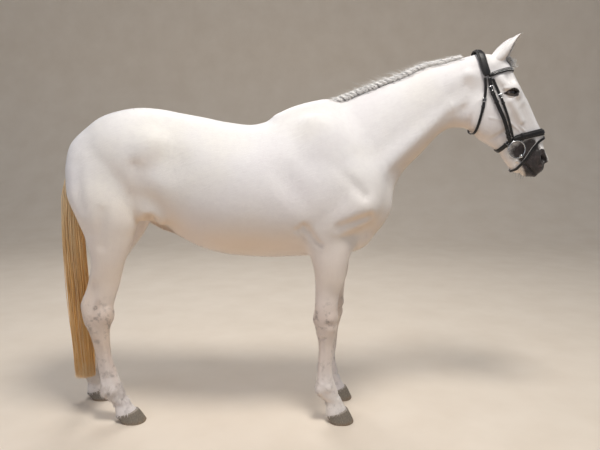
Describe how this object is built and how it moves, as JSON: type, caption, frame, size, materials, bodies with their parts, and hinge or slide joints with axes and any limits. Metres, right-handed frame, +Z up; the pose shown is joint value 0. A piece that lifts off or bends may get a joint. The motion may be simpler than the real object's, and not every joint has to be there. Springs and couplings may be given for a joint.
{
  "type": "horse",
  "caption": "Still life-size grey sport horse standing nearly square in profile, mane in a running plait, long cut tail, wearing a black English bridle with a flash noseband.",
  "frame": {"origin": "on the floor, under the middle of the whole horse's box", "axes": "+X the way the horse looks, +Y its left side, +Z up"},
  "size_m": [2.4822, 0.6052, 1.9544],
  "materials": {
    "coat": "short white summer coat lying flat",
    "mane_hair": "white plaited hair",
    "tail_hair": "long straight yellow-white hair",
    "horn": "grey hoof horn",
    "eye": "wet dark brown eye",
    "leather": "black polished bridle leather",
    "steel": "bright steel bit ring"
  },
  "bodies": {
    "root": {"bit_ring_left": "steel", "bit_ring_right": "steel", "browband": "leather", "cheekpiece_left": "leather", "cheekpiece_right": "leather", "chin_strap": "leather", "ear_left": "coat", "ear_right": "coat", "eye_left": "eye", "eye_right": "eye", "flash_strap": "leather", "fore_cannon_left": "coat", "fore_cannon_right": "coat", "fore_hoof_left": "horn", "fore_hoof_right": "horn", "fore_pastern_left": "coat", "fore_pastern_right": "coat", "forearm_left": "coat", "forearm_right": "coat", "forelock": "mane_hair", "gaskin_left": "coat", "gaskin_right": "coat", "head": "coat", "headpiece": "leather", "hind_cannon_left": "coat", "hind_cannon_right": "coat", "hind_hoof_left": "horn", "hind_hoof_right": "horn", "hind_pastern_left": "coat", "hind_pastern_right": "coat", "hock_left": "coat", "hock_right": "coat", "knee_left": "coat", "knee_right": "coat", "mane_plait": "mane_hair", "neck": "coat", "noseband": "leather", "tail": "tail_hair", "throatlash": "leather", "trunk": "coat"}
  },
  "joints": []
}
